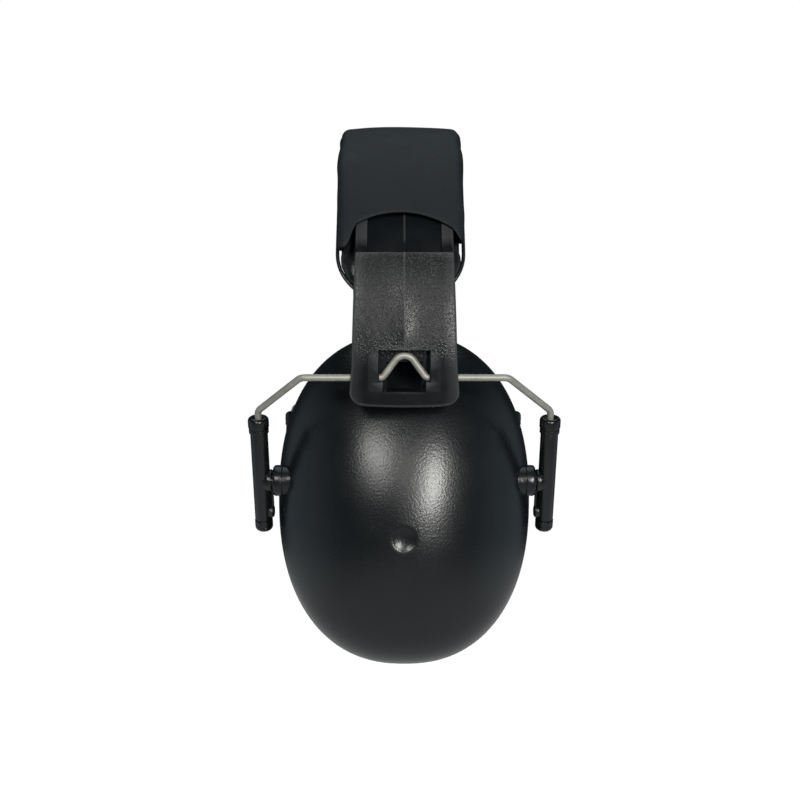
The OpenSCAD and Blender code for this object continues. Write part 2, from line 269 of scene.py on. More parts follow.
def four_places(rear, part, body, node, material):
    """The left rear piece and its mirror images at the front and on the right."""
    front = mirrored(rear, "left_front_" + part, Y)
    both_sides(rear, "rear_" + part, body, ["rear_" + node], material)
    both_sides(front, "front_" + part, body, ["front_" + node], material)


SIM_SCALE = 10.0                        # cloth behaves better when a small pad is simulated large
SIM_FRAMES = 20
SIM_STIFFNESS = 15.0


def swell(piece, pressure, cap, pinned):
    """Inflates a soft closed mesh by cloth simulation. No point moves further than cap millimetres.

    The pinned vertices stay where they are."""
    rest = [v.co.copy() for v in piece.data.vertices]
    piece.data.transform(Matrix.Scale(SIM_SCALE, 4))
    cloth = piece.modifiers.new("cloth", "CLOTH")
    settings = cloth.settings
    settings.quality = 6
    settings.use_pressure = True
    settings.uniform_pressure_force = pressure
    settings.tension_stiffness = SIM_STIFFNESS
    settings.compression_stiffness = SIM_STIFFNESS
    settings.bending_stiffness = 0.3
    settings.effector_weights.gravity = 0
    group = piece.vertex_groups.new(name="pinned")
    group.add(pinned, 1.0, "REPLACE")
    settings.vertex_group_mass = "pinned"
    cloth.point_cache.frame_start = 1
    cloth.point_cache.frame_end = SIM_FRAMES
    for moment in range(1, SIM_FRAMES + 1):
        bpy.context.scene.frame_set(moment)
    graph = bpy.context.evaluated_depsgraph_get()
    swollen = piece.evaluated_get(graph).data
    moved = [v.co / SIM_SCALE for v in swollen.vertices]
    piece.modifiers.clear()
    piece.vertex_groups.clear()
    limit = cap * MM
    for vertex, start, end in zip(piece.data.vertices, rest, moved):
        shift = end - start
        if shift.length > limit:
            shift *= limit / shift.length
        vertex.co = start + shift
    bpy.context.scene.frame_set(1)


# ---------------------------------------------------------------- materials

class Paint:
    """A Principled material and short ways to add nodes to it."""

    def __init__(self, name, **sockets):
        self.material = bpy.data.materials.new(name)
        self.material.use_nodes = True
        self.tree = self.material.node_tree
        self.shader = self.tree.nodes["Principled BSDF"]
        for key, value in sockets.items():
            self.shader.inputs[key.replace("_", " ")].default_value = value
        self.place = self.add("ShaderNodeTexCoord").outputs["Object"]

    def add(self, kind, **settings):
        node = self.tree.nodes.new(kind)
        for key, value in settings.items():
            setattr(node, key, value)
        return node

    def link(self, output, socket):
        self.tree.links.new(output, socket)

    def stretched(self, sizes):
        mapping = self.add("ShaderNodeMapping")
        mapping.inputs["Scale"].default_value = sizes
        self.link(self.place, mapping.inputs["Vector"])
        return mapping.outputs["Vector"]

    def noise(self, size, detail=3.0, roughness=0.5, vector=None):
        """Noise whose features are about size millimetres across."""
        node = self.add("ShaderNodeTexNoise")
        node.inputs["Scale"].default_value = 1 / (size * MM)
        node.inputs["Detail"].default_value = detail
        node.inputs["Roughness"].default_value = roughness
        self.link(vector or self.place, node.inputs["Vector"])
        return node.outputs["Fac"]

    def cells(self, size, feature="F1"):
        node = self.add("ShaderNodeTexVoronoi", feature=feature)
        node.inputs["Scale"].default_value = 1 / (size * MM)
        self.link(self.place, node.inputs["Vector"])
        return node.outputs["Distance"]

    def spread(self, value, low, high, to_low=0.0, to_high=1.0):
        node = self.add("ShaderNodeMapRange")
        for key, number in zip(("From Min", "From Max", "To Min", "To Max"),
                               (low, high, to_low, to_high)):
            node.inputs[key].default_value = number
        self.link(value, node.inputs["Value"])
        return node.outputs["Result"]

    def maths(self, operation, a, b):
        node = self.add("ShaderNodeMath", operation=operation)
        for socket, value in zip(node.inputs, (a, b)):
            if isinstance(value, (int, float)):
                socket.default_value = value
            else:
                self.link(value, socket)
        return node.outputs["Value"]

    def height(self):
        split = self.add("ShaderNodeSeparateXYZ")
        self.link(self.place, split.inputs["Vector"])
        return split.outputs["Z"]

    def edges(self, low=0.5, high=0.56):
        """1 along convex edges."""
        pointiness = self.add("ShaderNodeNewGeometry").outputs["Pointiness"]
        return self.spread(pointiness, low, high)

    def colour(self, factor, dark, light):
        mix = self.add("ShaderNodeMix", data_type="RGBA")
        mix.inputs["A"].default_value = (*dark, 1)
        mix.inputs["B"].default_value = (*light, 1)
        self.link(factor, mix.inputs["Factor"])
        self.link(mix.outputs["Result"], self.shader.inputs["Base Color"])

    def paint_edge_highlights(self, light, low, high):
        """Lightens the colour set so far along convex edges: a painted highlight where they would catch
        light.
        """
        base = self.shader.inputs["Base Color"]
        mix = self.add("ShaderNodeMix", data_type="RGBA")
        mix.inputs["B"].default_value = (*light, 1)
        self.link(self.edges(low, high), mix.inputs["Factor"])
        self.link(base.links[0].from_socket, mix.inputs["A"])
        self.link(mix.outputs["Result"], base)

    def rough(self, value):
        self.link(value, self.shader.inputs["Roughness"])

    def bump(self, *layers):
        """Layers of (height from 0 to 1, depth in millimetres), one bump on another."""
        normal = None
        for value, depth in layers:
            node = self.add("ShaderNodeBump")
            node.inputs["Strength"].default_value = 1.0
            node.inputs["Distance"].default_value = depth * MM
            self.link(value, node.inputs["Height"])
            if normal:
                self.link(normal, node.inputs["Normal"])
            normal = node.outputs["Normal"]
        self.link(normal, self.shader.inputs["Normal"])


def band_plastic():
    """Black nylon: spark-eroded from the step down to the window, smoother elsewhere."""
    p = Paint("band_plastic", Specular_IOR_Level=0.3)
    speckle = p.noise(0.55, 1.0, 0.5)
    cloud = p.noise(7.0, 3.0)
    below_step = p.spread(p.height(), (STEP_Z + 0.3) * MM, (STEP_Z - 0.3) * MM)
    above_window = p.spread(p.height(), (SWING.z + 2) * MM, (SWING.z + 16) * MM)
    eroded = p.maths("MULTIPLY", below_step, above_window)
    grit = p.maths("MULTIPLY", p.spread(speckle, 0.46, 0.6), eroded)
    p.colour(grit, (0.0036, 0.0046, 0.0058), (0.016, 0.0172, 0.0172))
    # Painted highlight: the band's convex edges, rails and ridge are lightened as if they caught light.
    p.paint_edge_highlights((0.055, 0.058, 0.06), 0.505, 0.54)
    satin = p.spread(cloud, 0.3, 0.7, 0.24, 0.32)
    p.rough(p.maths("ADD", satin, p.maths("MULTIPLY", eroded, 0.08)))
    p.bump((cloud, 0.05), (grit, 0.075), (p.noise(0.35, 2.0), 0.008))
    return p.material


def cup_plastic():
    """Satin black moulding with a fine leather grain."""
    p = Paint("cup_plastic", Specular_IOR_Level=0.4)
    grain = p.noise(0.58, 2.0, 0.5)
    creases = p.cells(0.66, "SMOOTH_F1")
    cloud = p.noise(14.0, 4.0, 0.6)
    p.colour(p.spread(cloud, 0.35, 0.7), (0.0045, 0.0058, 0.007), (0.0062, 0.0074, 0.0084))
    p.rough(p.spread(p.maths("ADD", cloud, p.maths("MULTIPLY", grain, 0.5)), 0.5, 1.1, 0.245, 0.305))
    p.bump((grain, 0.034), (creases, 0.02))
    return p.material


def tube_plastic(name, dark, light, roughness):
    """Semi-gloss turned plastic with faint lengthwise rub marks."""
    p = Paint(name)
    marks = p.noise(0.5, 3.0, 0.6, p.stretched((1.0, 1.0, 0.08)))
    cloud = p.noise(5.0, 3.0)
    p.colour(p.maths("ADD", p.spread(cloud, 0.3, 0.7), p.maths("MULTIPLY", p.edges(), 0.8)),
             dark, light)
    p.rough(p.spread(p.maths("ADD", marks, cloud), 0.7, 1.3, roughness - 0.05, roughness + 0.07))
    p.bump((marks, 0.008), (p.noise(0.3, 2.0), 0.006))
    return p.material


def inner_plastic():
    """Plain moulded plastic with a light spark grain."""
    p = Paint("inner_plastic")
    grain = p.noise(0.5, 3.0, 0.6)
    p.colour(p.spread(p.noise(9.0, 3.0), 0.3, 0.7), (0.014, 0.015, 0.016), (0.024, 0.025, 0.026))
    p.rough(p.spread(grain, 0.3, 0.7, 0.42, 0.58))
    p.bump((grain, 0.02))
    return p.material


def steel(name, dark, light, roughness, metallic=1.0):
    """Drawn stainless steel: fine marks, a little uneven polish. Less metallic is duller."""
    p = Paint(name, Metallic=metallic)
    marks = p.noise(0.25, 4.0, 0.7, p.stretched((1.0, 0.12, 0.5)))
    cloud = p.noise(3.0, 3.0)
    p.colour(p.spread(p.maths("ADD", marks, cloud), 0.7, 1.3), dark, light)
    p.rough(p.spread(p.maths("ADD", marks, cloud), 0.7, 1.3, roughness - 0.07, roughness + 0.1))
    p.bump((marks, 0.006), (cloud, 0.02))
    return p.material


def cover_vinyl():
    """Matte charcoal vinyl: soft mottling from handling and a very fine pebble."""
    p = Paint("cover_vinyl", Specular_IOR_Level=0.22)
    mottle = p.noise(8.0, 5.0, 0.6)
    pebble = p.cells(0.45, "SMOOTH_F1")
    specks = p.spread(p.noise(0.8, 2.0), 0.66, 0.72)
    p.colour(p.maths("ADD", p.spread(mottle, 0.3, 0.75), p.maths("MULTIPLY", specks, 0.5)),
             (0.0075, 0.0098, 0.0118), (0.0115, 0.0138, 0.0158))
    p.rough(p.spread(mottle, 0.3, 0.7, 0.58, 0.7))
    p.bump((mottle, 0.25), (pebble, 0.02), (p.noise(1.6, 3.0), 0.03))
    return p.material


def glossy_vinyl(name, dark, light, roughness, wrinkle):
    """Soft shiny vinyl with shallow creases."""
    p = Paint(name)
    creases = p.noise(3.5, 4.0, 0.55)
    pores = p.cells(0.6, "SMOOTH_F1")
    p.colour(p.spread(creases, 0.35, 0.7), dark, light)
    p.rough(p.spread(p.noise(6.0, 4.0), 0.3, 0.7, roughness - 0.05, roughness + 0.08))
    p.bump((creases, wrinkle), (pores, 0.02))
    return p.material


def foam(name, dark, light, pore):
    """Open-cell foam: pores of one size with torn walls."""
    p = Paint(name, Roughness=0.95)
    pores = p.cells(pore)
    torn = p.noise(pore * 0.6, 4.0, 0.7)
    p.colour(p.spread(p.maths("ADD", pores, p.maths("MULTIPLY", torn, 0.4)), 0.2, 0.9), dark, light)
    p.rough(p.spread(torn, 0.3, 0.7, 0.88, 1.0))
    p.bump((pores, pore * 0.5), (torn, pore * 0.25))
    return p.material


MATERIALS = {
    "band": band_plastic(),
    "cup": cup_plastic(),
    "tube": tube_plastic("slider_plastic", (0.002, 0.0025, 0.003), (0.005, 0.0055, 0.006), 0.26),
    "collar": tube_plastic("collar_plastic", (0.0015, 0.0018, 0.0022), (0.004, 0.0042, 0.0047), 0.24),
    "inner": inner_plastic(),
    "wire": steel("spring_wire", (0.255, 0.251, 0.228), (0.365, 0.36, 0.325), 0.52, 0.5),
    "steel": steel("stopper_steel", (0.42, 0.41, 0.38), (0.58, 0.57, 0.53), 0.34),
    "cover": cover_vinyl(),
    "lining": glossy_vinyl("lining_vinyl", (0.006, 0.007, 0.008), (0.012, 0.013, 0.014), 0.26, 0.2),
    "cushion": glossy_vinyl("cushion_vinyl", (0.006, 0.0068, 0.0076), (0.01, 0.0108, 0.0116), 0.36, 0.1),
    "foam": foam("soft_foam", (0.06, 0.06, 0.064), (0.11, 0.11, 0.116), 0.9),
    "absorber": foam("absorber_foam", (0.022, 0.022, 0.025), (0.055, 0.055, 0.06), 1.1),
}


# ---------------------------------------------------------------- camera, light and floor

def aim(thing, place, target):
    thing.location = Vector(place) * MM
    way = (Vector(target) - Vector(place)).normalized()
    thing.rotation_euler = way.to_track_quat("-Z", "Y").to_euler()


def camera():
    data = bpy.data.cameras.new("camera")
    data.lens = 47.25
    data.sensor_width = 36.0
    data.clip_start = 0.01                                  # metres
    item = bpy.data.objects.new("camera", data)
    bpy.context.scene.collection.objects.link(item)
    item.location = (0.362, -0.00125, -0.0784)              # metres
    item.rotation_euler = (math.radians(90), 0, math.radians(90))
    bpy.context.scene.camera = item


def softbox(name, place, target, width, height, power, colour):
    data = bpy.data.lights.new(name, "AREA")
    data.shape = "RECTANGLE"
    data.size = width * MM
    data.size_y = height * MM
    data.energy = power
    data.color = colour
    item = bpy.data.objects.new(name, data)
    bpy.context.scene.collection.objects.link(item)
    aim(item, place, target)


ROOM_DARK, ROOM_WALLS = 0.028, 0.42      # strength of the room's light from most ways, and sideways


def surroundings():
    """A dark room with pale walls in front and behind. It is seen as plain white, as a backdrop is."""
    world = bpy.data.worlds.new("room")
    bpy.context.scene.world = world
    world.use_nodes = True
    nodes, links = world.node_tree.nodes, world.node_tree.links
    room = nodes["Background"]
    room.inputs["Color"].default_value = (0.8, 0.97, 1.1, 1)
    way = nodes.new("ShaderNodeSeparateXYZ")
    links.new(nodes.new("ShaderNodeTexCoord").outputs["Generated"], way.inputs["Vector"])
    sideways = nodes.new("ShaderNodeMath")
    sideways.operation = "ABSOLUTE"
    links.new(way.outputs["Y"], sideways.inputs[0])
    walls = nodes.new("ShaderNodeMapRange")
    for key, value in (("From Min", 0.72), ("From Max", 0.95), ("To Min", ROOM_DARK), ("To Max", ROOM_WALLS)):
        walls.inputs[key].default_value = value
    links.new(sideways.outputs["Value"], walls.inputs["Value"])
    links.new(walls.outputs["Result"], room.inputs["Strength"])
    backdrop = nodes.new("ShaderNodeBackground")
    backdrop.inputs["Strength"].default_value = 1.0
    backdrop.inputs["Color"].default_value = (1, 1, 1, 1)
    seen = nodes.new("ShaderNodeLightPath").outputs["Is Camera Ray"]
    mix = nodes.new("ShaderNodeMixShader")
    links.new(seen, mix.inputs[0])
    links.new(room.outputs[0], mix.inputs[1])
    links.new(backdrop.outputs[0], mix.inputs[2])
    links.new(mix.outputs[0], nodes["World Output"].inputs["Surface"])


def floor_paper():
    """Pale paper, whiter than the object's own light would make it, fading out at its edge."""
    p = Paint("floor_paper", Roughness=0.9)
    grain = p.noise(1.5, 3.0)
    p.colour(grain, (0.86, 0.86, 0.86), (0.9, 0.9, 0.9))
    p.bump((grain, 0.05))
    p.shader.inputs["Emission Color"].default_value = (1, 1, 1, 1)
    p.shader.inputs["Emission Strength"].default_value = 0.95
    far = p.add("ShaderNodeVectorMath", operation="LENGTH")
    p.link(p.place, far.inputs[0])
    fade = p.spread(far.outputs["Value"], 0.1, 0.3, 0.38, 0.0)      # from 0.1 to 0.3 metres out
    p.link(fade, p.shader.inputs["Alpha"])
    return p.material


FLOOR_DROP = 20.0                       # the cups can be drawn out by 17 mm and stay above the floor


def floor():
    size = 1200.0
    corners = [(-size, -size, 0), (size, -size, 0), (size, size, 0), (-size, size, 0)]
    piece = new_piece("floor", corners, [(0, 1, 2, 3)])
    piece.location.z = (cup_low.z - FLOOR_DROP) * MM
    if piece.data.polygons[0].normal.z < 0:
        piece.data.flip_normals()
    piece.data.materials.append(floor_paper())


LIGHT_DISTANCE = 900
WARM, COOL = (1.0, 0.99, 0.955), (0.85, 0.97, 1.0)


def lighting():
    cup_front = PIVOT + Vector((20, 0, 0))
    for name, way, width, height, power in (
            ("right_window", (0.943, 0.303, 0.16), 150, 320, 6.6),
            ("left_window", (0.896, -0.26, 0.356), 260, 240, 3.2)):
        softbox(name, cup_front + LIGHT_DISTANCE * Vector(way), cup_front, width, height, power, WARM)
    softbox("overhead", (-100, 0, LIGHT_DISTANCE), (0, 0, -60), 900, 900, 3.0, COOL)


bpy.context.scene.view_settings.view_transform = "Standard"
camera()
surroundings()
floor()
lighting()


# ---------------------------------------------------------------- headband

def arch_frame(angle, extra=0.0):
    """Point on the block's outer surface, outward normal and downward way, at an angle from the top.

    Past the arc's end the band runs straight for extra millimetres."""
    a = math.radians(angle)
    normal = Vector((math.sin(a), 0, math.cos(a)))
    down = Vector((math.cos(a), 0, -math.sin(a))) * (1 if angle >= 0 else -1)
    return Vector((0, 0, ARCH_Z)) + normal * BLOCK_R + down * extra, normal, down


def band_section(half, top, bottom, channel, ridge):
    """Closed outline of (y, depth) across the band: two rails, a channel and a centre ridge."""
    r_out, r_in = BAND_EDGE_R, BAND_INNER_EDGE_R
    quarter = [math.radians(22.5 * k) for k in range(5)]
    left = [(-half + r_out - r_out * math.cos(a), top + r_out - r_out * math.sin(a)) for a in quarter]
    edge = [(-0.35, 0.0), (-0.22, 0.05), (-0.12, 0.16), (0.12, 0.84), (0.22, 0.95), (0.35, 1.0)]
    left += [(-CHANNEL + y, top + share * channel) for y, share in edge]
    left += [(-CHANNEL / 2, top + channel), (-0.55, top + channel), (-0.2, top + channel - ridge)]
    right = [(-y, d) for y, d in reversed(left)]
    under = [(half - r_in + r_in * math.cos(a), bottom - r_in + r_in * math.sin(a)) for a in quarter]
    under += [(half / 2, bottom), (0, bottom)]
    return left + right + under + [(-y, d) for y, d in reversed(under[:-1])]


def band_stations():
    """(angle, extra) down one half of the band, closer together where its shape changes."""
    step = math.degrees(math.acos((STEP_Z - ARCH_Z) / BLOCK_R))
    angles = [step * k / 36 for k in range(36)] + [step - 0.25, step + 0.05, step + 0.3]
    angles += [step + 0.3 + (LEG_ANGLE - step - 0.3) * k / 16 for k in range(1, 17)]
    length = (arch_frame(LEG_ANGLE)[0].z - band_low.z) / math.cos(math.radians(LEG_ANGLE - 90))
    ends = [BAND_CORNER_R * (1 - math.sin(math.radians(a))) for a in range(0, 91, 6)]
    extras = [length * k / 5 for k in range(1, 4)] + [length - e for e in ends]
    return step, length, [(a, 0.0) for a in angles] + [(LEG_ANGLE, e) for e in extras]


def band_ring(angle, extra, step, length, sign):
    point, normal, down = arch_frame(sign * angle, extra)
    along = (angle - step) / (LEG_ANGLE - step) * 0.5 + extra / length * 0.5
    half = (BAND_STEP_W + (BAND_END_W - BAND_STEP_W) * min(max(along * 1.15, 0), 1)) / 2
    above = angle < step
    top = BLOCK_R - BAND_R if above else 0.0
    bottom = BLOCK_R - BAND_R + BAND_T if above else BLOCK_T
    to_end = length - extra if angle >= LEG_ANGLE else math.inf
    if to_end < BAND_CORNER_R:
        corner = BAND_CORNER_R ** 2 - (BAND_CORNER_R - to_end) ** 2
        half -= BAND_CORNER_R - math.sqrt(max(0.0, corner))
    if to_end < BAND_EDGE_R:
        tuck = BAND_EDGE_R - math.sqrt(max(0.0, BAND_EDGE_R ** 2 - (BAND_EDGE_R - to_end) ** 2))
        top, bottom = top + tuck, bottom - tuck
    ridge = 0.14 * (1 - smoothstep(angle, 92, 95))
    section = band_section(half, top, bottom, CHANNEL_DEPTH if above else 0.0, ridge)
    bow = 0.75 * smoothstep(10.0 - to_end, 0.0, 10.0)
    return [point - normal * d + Y * y - down * bow * (2 * y / BAND_END_W) ** 2 for y, d in section]


def leg_point(depth, height, y, end=1):
    """A point at a height, and a depth below the leg's outer surface."""
    point, normal, down = arch_frame(LEG_ANGLE)
    start = point - normal * depth
    place = start + down * ((height - start.z) / down.z)
    return Vector((end * place.x, y, place.z))


def slot_cutter(name, y_half, top, bottom, mouth, floor_depth, floor_bottom=None, chamfer=0.3):
    """A block cut into the leg between two depths, straight or ramped to its floor.

    With a chamfer, its mouth opens out past the surface."""
    floor_bottom = bottom if floor_bottom is None else floor_bottom
    levels = [(mouth + chamfer, 0.0), (floor_depth, 0.0)]
    if chamfer:
        levels = [(mouth - 2.0, chamfer + 2.0), (mouth, chamfer)] + levels
    rings = []
    for depth, grow in levels:
        share = min(max((depth - mouth) / (floor_depth - mouth), 0), 1)
        low = bottom + (floor_bottom - bottom) * share
        rings.append([leg_point(depth, h, y) for y, h in (
            (-y_half - grow, low - grow), (y_half + grow, low - grow),
            (y_half + grow, top + grow), (-y_half - grow, top + grow))])
    return new_piece(name, *loft(rings), angle=20)


def headband():
    step, length, half = band_stations()
    stations = [(a, e, -1) for a, e in reversed(half[1:])] + [(a, e, 1) for a, e in half]
    rings = [band_ring(a, e, step, length, sign) for a, e, sign in stations]
    band = new_piece("headband_body", *loft(rings))
    block, normal = arch_frame(LEG_ANGLE)[:2]
    floor_depth = (block - SWING).dot(normal) + WIRE_R + 0.3
    window_top, window_bottom = SWING.z + 7.5, SWING.z - 4.0
    ramp_top = window_bottom + 1.1
    for end in (1, -1):
        cutters = [
            slot_cutter("wide", 7.15, window_top, SWING.z - 1.2, 0.0, floor_depth),
            slot_cutter("narrow", 6.1, SWING.z + 2, window_bottom, 0.0, floor_depth, ramp_top, chamfer=0.15),
            slot_cutter("hole", 5.0, SWING.z + 4.5, ramp_top, floor_depth - 0.1, BLOCK_T + 2, chamfer=0.0),
            sweep("bore", [SWING - Y * 20, SWING + Y * 20], WIRE_R + 0.05, 32),
        ]
        for cutter in cutters:
            if end < 0:
                cutter.data.transform(Matrix.Scale(-1, 4, X))
                cutter.data.flip_normals()
            combine(band, cutter, "DIFFERENCE")
    attach(band, "headband_frame", ["headband"], MATERIALS["band"])


# ---------------------------------------------------------------- crown pad

def cover_edge(y):
    """Height of the cover's lower edge: an arch that drops further where it wraps off the band."""
    off = abs(y - PAD_Y)
    arch = COVER_ARCH_R - math.sqrt(COVER_ARCH_R ** 2 - min(off, 15.5) ** 2)
    drop = 4.0 - math.copysign(1.0, y)
    return -24.3 - arch - drop * smoothstep(abs(y), 13.6, 16.6)


def arch_point(radius, angle, y):
    a = math.radians(angle)
    return Vector((radius * math.sin(a), y, ARCH_Z + radius * math.cos(a)))


def refine(path, longest):
    fine = [path[0]]
    for a, b in zip(path, path[1:]):
        count = max(1, math.ceil((b - a).length / longest))
        fine += [a.lerp(b, k / count) for k in range(1, count + 1)]
    return fine


def curved_sheet(name, outer, inner):
    """A closed sheet between two grids of points, with a rolled edge all round."""
    rows, cols = len(outer), len(outer[0])
    points = [p for row in outer for p in row] + [p for row in inner for p in row]
    base = rows * cols
    faces = []
    for r in range(rows - 1):
        for c in range(cols - 1):
            quad = (r * cols + c, r * cols + c + 1, (r + 1) * cols + c + 1, (r + 1) * cols + c)
            faces += [quad, tuple(base + i for i in reversed(quad))]
    border = [(0, c) for c in range(cols - 1)] + [(r, cols - 1) for r in range(rows - 1)]
    border += [(rows - 1, c) for c in range(cols - 1, 0, -1)] + [(r, 0) for r in range(rows - 1, 0, -1)]
    rolls = []
    for r, c in border:
        step_in = (min(max(r, 1), rows - 2), min(max(c, 1), cols - 2))
        a, b = outer[r][c], inner[r][c]
        away = (a - outer[step_in[0]][step_in[1]]).normalized()
        middle, half = (a + b) / 2, (a - b) / 2
        ring = [r * cols + c]
        for k in (1, 2, 3):
            turn = math.pi * k / 4
            points.append(middle + half * math.cos(turn) + away * half.length * math.sin(turn))
            ring.append(len(points) - 1)
        rolls.append(ring + [base + r * cols + c])
    for here, there in zip(rolls, rolls[1:] + rolls[:1]):
        faces += [(here[k], here[k + 1], there[k + 1], there[k]) for k in range(4)]
    return new_piece(name, points, faces, angle=80)


def cover_grid(inset):
    """The cover's outer surface, or the surface inset millimetres under it."""
    half, top, weld = PAD_HALF - inset, PAD_TOP_R - inset, PAD_BOTTOM_R + 5.2
    corners = [Vector((-half + 0.3, weld)), Vector((-half, top)), Vector((half, top)),
               Vector((half - 0.3, weld))]
    path = refine(rounded(corners, [0, 2.4 - inset, 2.4 - inset, 0], step=9), 1.1)
    rows = []
    for k in range(141):
        u = -1 + 2 * k / 140
        row = []
        for y, radius in path:
            radius += 1.1 * (1 - (y / half) ** 2) * smoothstep(radius, top - 3, top) - 0.6
            edge = math.degrees(math.acos((cover_edge(y + PAD_Y) - ARCH_Z) / radius))
            wide = 1 + 0.045 * (1 - smoothstep(abs(u), 0.45, 1.0))
            spot = arch_point(radius, u * edge, y * wide + PAD_Y)
            side = smoothstep(abs(y), half - 6, half)
            loose = 0.22 * wave(spot, 16, 1) + 0.45 * side * wave(spot, 9, 2)
            outward = (spot - Vector((0, spot.y, ARCH_Z))).normalized() * (1 - 0.6 * side)
            row.append(spot + (outward + Y * math.copysign(side, y)) * loose)
        rows.append(row)
    return rows


def pad_cover():
    cover = curved_sheet("crown_cover", cover_grid(0.0), cover_grid(COVER_THICKNESS))
    attach(cover, "headband_frame", ["pad_cover_outer"], MATERIALS["cover"])


TONGUE_TOP = -36.0                      # where the lining starts to narrow
TONGUE_LENGTH = 15.0


def tongue_half(height):
    """Half-width of the lining at a height: full, then an ellipse down to the tip of the tongue."""
    below = (TONGUE_TOP - height) / TONGUE_LENGTH
    return PAD_HALF * math.sqrt(max(0.0, 1 - max(0.0, below) ** 2))


def pillow_rings(bottom_r, top_r, margin, per_side, angles):
    """Rings of a crowned pillow bent round the arch: it swells between its welded sides."""
    rings = []
    for angle in angles:
        height = ARCH_Z + PAD_WELD_R * math.cos(math.radians(angle))
        half = max(tongue_half(height) - margin, 0.4)
        fullness = min(1.0, half / 9.0) ** 0.5
        ring = []
        for k in range(2 * per_side):
            turn = math.pi * k / per_side
            across = math.copysign(abs(math.cos(turn)) ** 0.6, math.cos(turn))
            rise = math.copysign(abs(math.sin(turn)) ** 0.75, math.sin(turn)) * fullness
            reach = top_r if rise > 0 else 2 * PAD_WELD_R - bottom_r
            radius = PAD_WELD_R + rise * (reach - PAD_WELD_R)
            ring.append(arch_point(radius, angle, PAD_Y + half * across))
        rings.append(ring)
    return rings


def pad_angles(count):
    """Angles down the pad, crowded towards both tips of the tongues."""
    tip = math.degrees(math.acos((TONGUE_TOP - TONGUE_LENGTH - ARCH_Z) / PAD_WELD_R))
    return [tip * math.sin(math.pi / 2 * (-1 + 2 * k / count)) for k in range(count + 1)]


def pad_lining():
    """A glossy pillow with a welded bead round its edge, its tongues hanging beside the band."""
    rings = pillow_rings(PAD_BOTTOM_R + 0.3, PAD_TOP_R - 6.3, 0.5, 28, pad_angles(110))
    lining = new_piece("crown_lining", *loft(rings), angle=60)
    held = TONGUE_TOP - 3                   # below this height the tongues stay out of the simulation
    pinned = [v.index for v in lining.data.vertices if v.co.z / MM < held]
    swell(lining, 3.0, 0.7, pinned)
    for vertex in lining.data.vertices:
        spot = vertex.co / MM
        near_tip = smoothstep(-spot.z, 30, 46)
        vertex.co += vertex.normal * MM * (0.12 + 0.35 * near_tip) * wave(spot, 5.0, 3)
    bead = sweep("bead", bead_route(), 0.55, 14, 1.5)
    combine(lining, bead, "UNION", 60)
    attach(lining, "headband_frame", ["pad_cover_lining"], MATERIALS["lining"])


def bead_route():
    """The welded edge: down one side, round each tongue and back, a little short of closing."""
    angles = pad_angles(90)
    halves = [tongue_half(ARCH_Z + PAD_WELD_R * math.cos(math.radians(a))) for a in angles]
    down = [arch_point(PAD_WELD_R, a, PAD_Y + h) for a, h in zip(angles, halves)]
    back = [arch_point(PAD_WELD_R, a, PAD_Y - h) for a, h in zip(angles, halves)]
    return down + list(reversed(back))[1:]


def pad_foam():
    """The foam strip inside the pad, kept clear of both skins."""
    tip = 66.0
    angles = [tip * (-1 + 2 * k / 60) for k in range(61)]
    rings = pillow_rings(PAD_BOTTOM_R + 1.6, PAD_TOP_R - 7.4, 2.2, 16, angles)
    core = new_piece("crown_foam", *loft(rings), angle=50)
    attach(core, "headband_frame", ["pad_foam"], MATERIALS["foam"])


# ---------------------------------------------------------------- wire yokes and slider tubes

def on_tube(station, y=TUBE_Y):
    """A point on the tube's axis. Stations run down the tube from the pivot."""
    return Vector((PIVOT.x, y, PIVOT.z)) - TUBE_UP * station


def yoke_wire():
    slope = math.tan(math.radians(LEG_ANGLE - 90))
    peak = SWING + Vector((slope * 8.4, 0, 8.4))
    rear = [on_tube(11), on_tube(-23), SWING + Y * 29.4, SWING + Y * 6.2]
    front = [Vector((p.x, -p.y, p.z)) for p in reversed(rear)]
    radii = [0, 3, 3, 1.6, 3.2, 1.6, 3, 3, 0]
    wire = sweep("left_yoke", rounded(rear + [peak] + front, radii, step=6), WIRE_R, 28, 2.0)
    both_sides(wire, "yoke", "yoke", ["yoke_wire"], MATERIALS["wire"])


def slider_tube():
    """A moulded tube with its pivot hub, its lower nub and the strut between them."""
    down = -TUBE_UP
    seat = -16.1
    tube = turned("left_rear_tube", [(0, -18.3), (2.2, -18.3), (2.2, seat), (TUBE_R, seat),
                                     (TUBE_R, 12.9), (0, 12.9)], [0, 0, 0, 0.2, 0.25, 0],
                  on_tube(0), down)
    hub = turned("hub", [(0, 39.9), (3.4, 39.9), (3.4, 41.2), (2.5, 43.2), (0, 43.2)],
                 [0, 0.4, 0.5, 0, 0], PIVOT_MIDDLE, Y)
    nub = turned("nub", [(0, 39.75), (2.0, 39.75), (2.0, 43.2), (0, 43.2)], [0, 0.8, 0, 0],
                 on_tube(10.5, 0), Y)
    strut = sweep("strut", [on_tube(1.5, 40.2), on_tube(9.8, 40.2)], 0.45, 16)
    web = sweep("web", [on_tube(8.8, 41.6), on_tube(11.4, 41.6)], 0.9, 20)
    for part in (hub, nub, strut, web):
        combine(tube, part, "UNION")
    bore = lathe("bore", plug(TUBE_BORE_R, -20, 16), on_tube(0), down)
    combine(tube, bore, "DIFFERENCE")
    combine(tube, lathe("pin_hole", plug(PIN_HOLE_R, 38, 41.2), PIVOT_MIDDLE, Y), "DIFFERENCE")
    four_places(tube, "tube", "sliders", "slider_tube", MATERIALS["tube"])


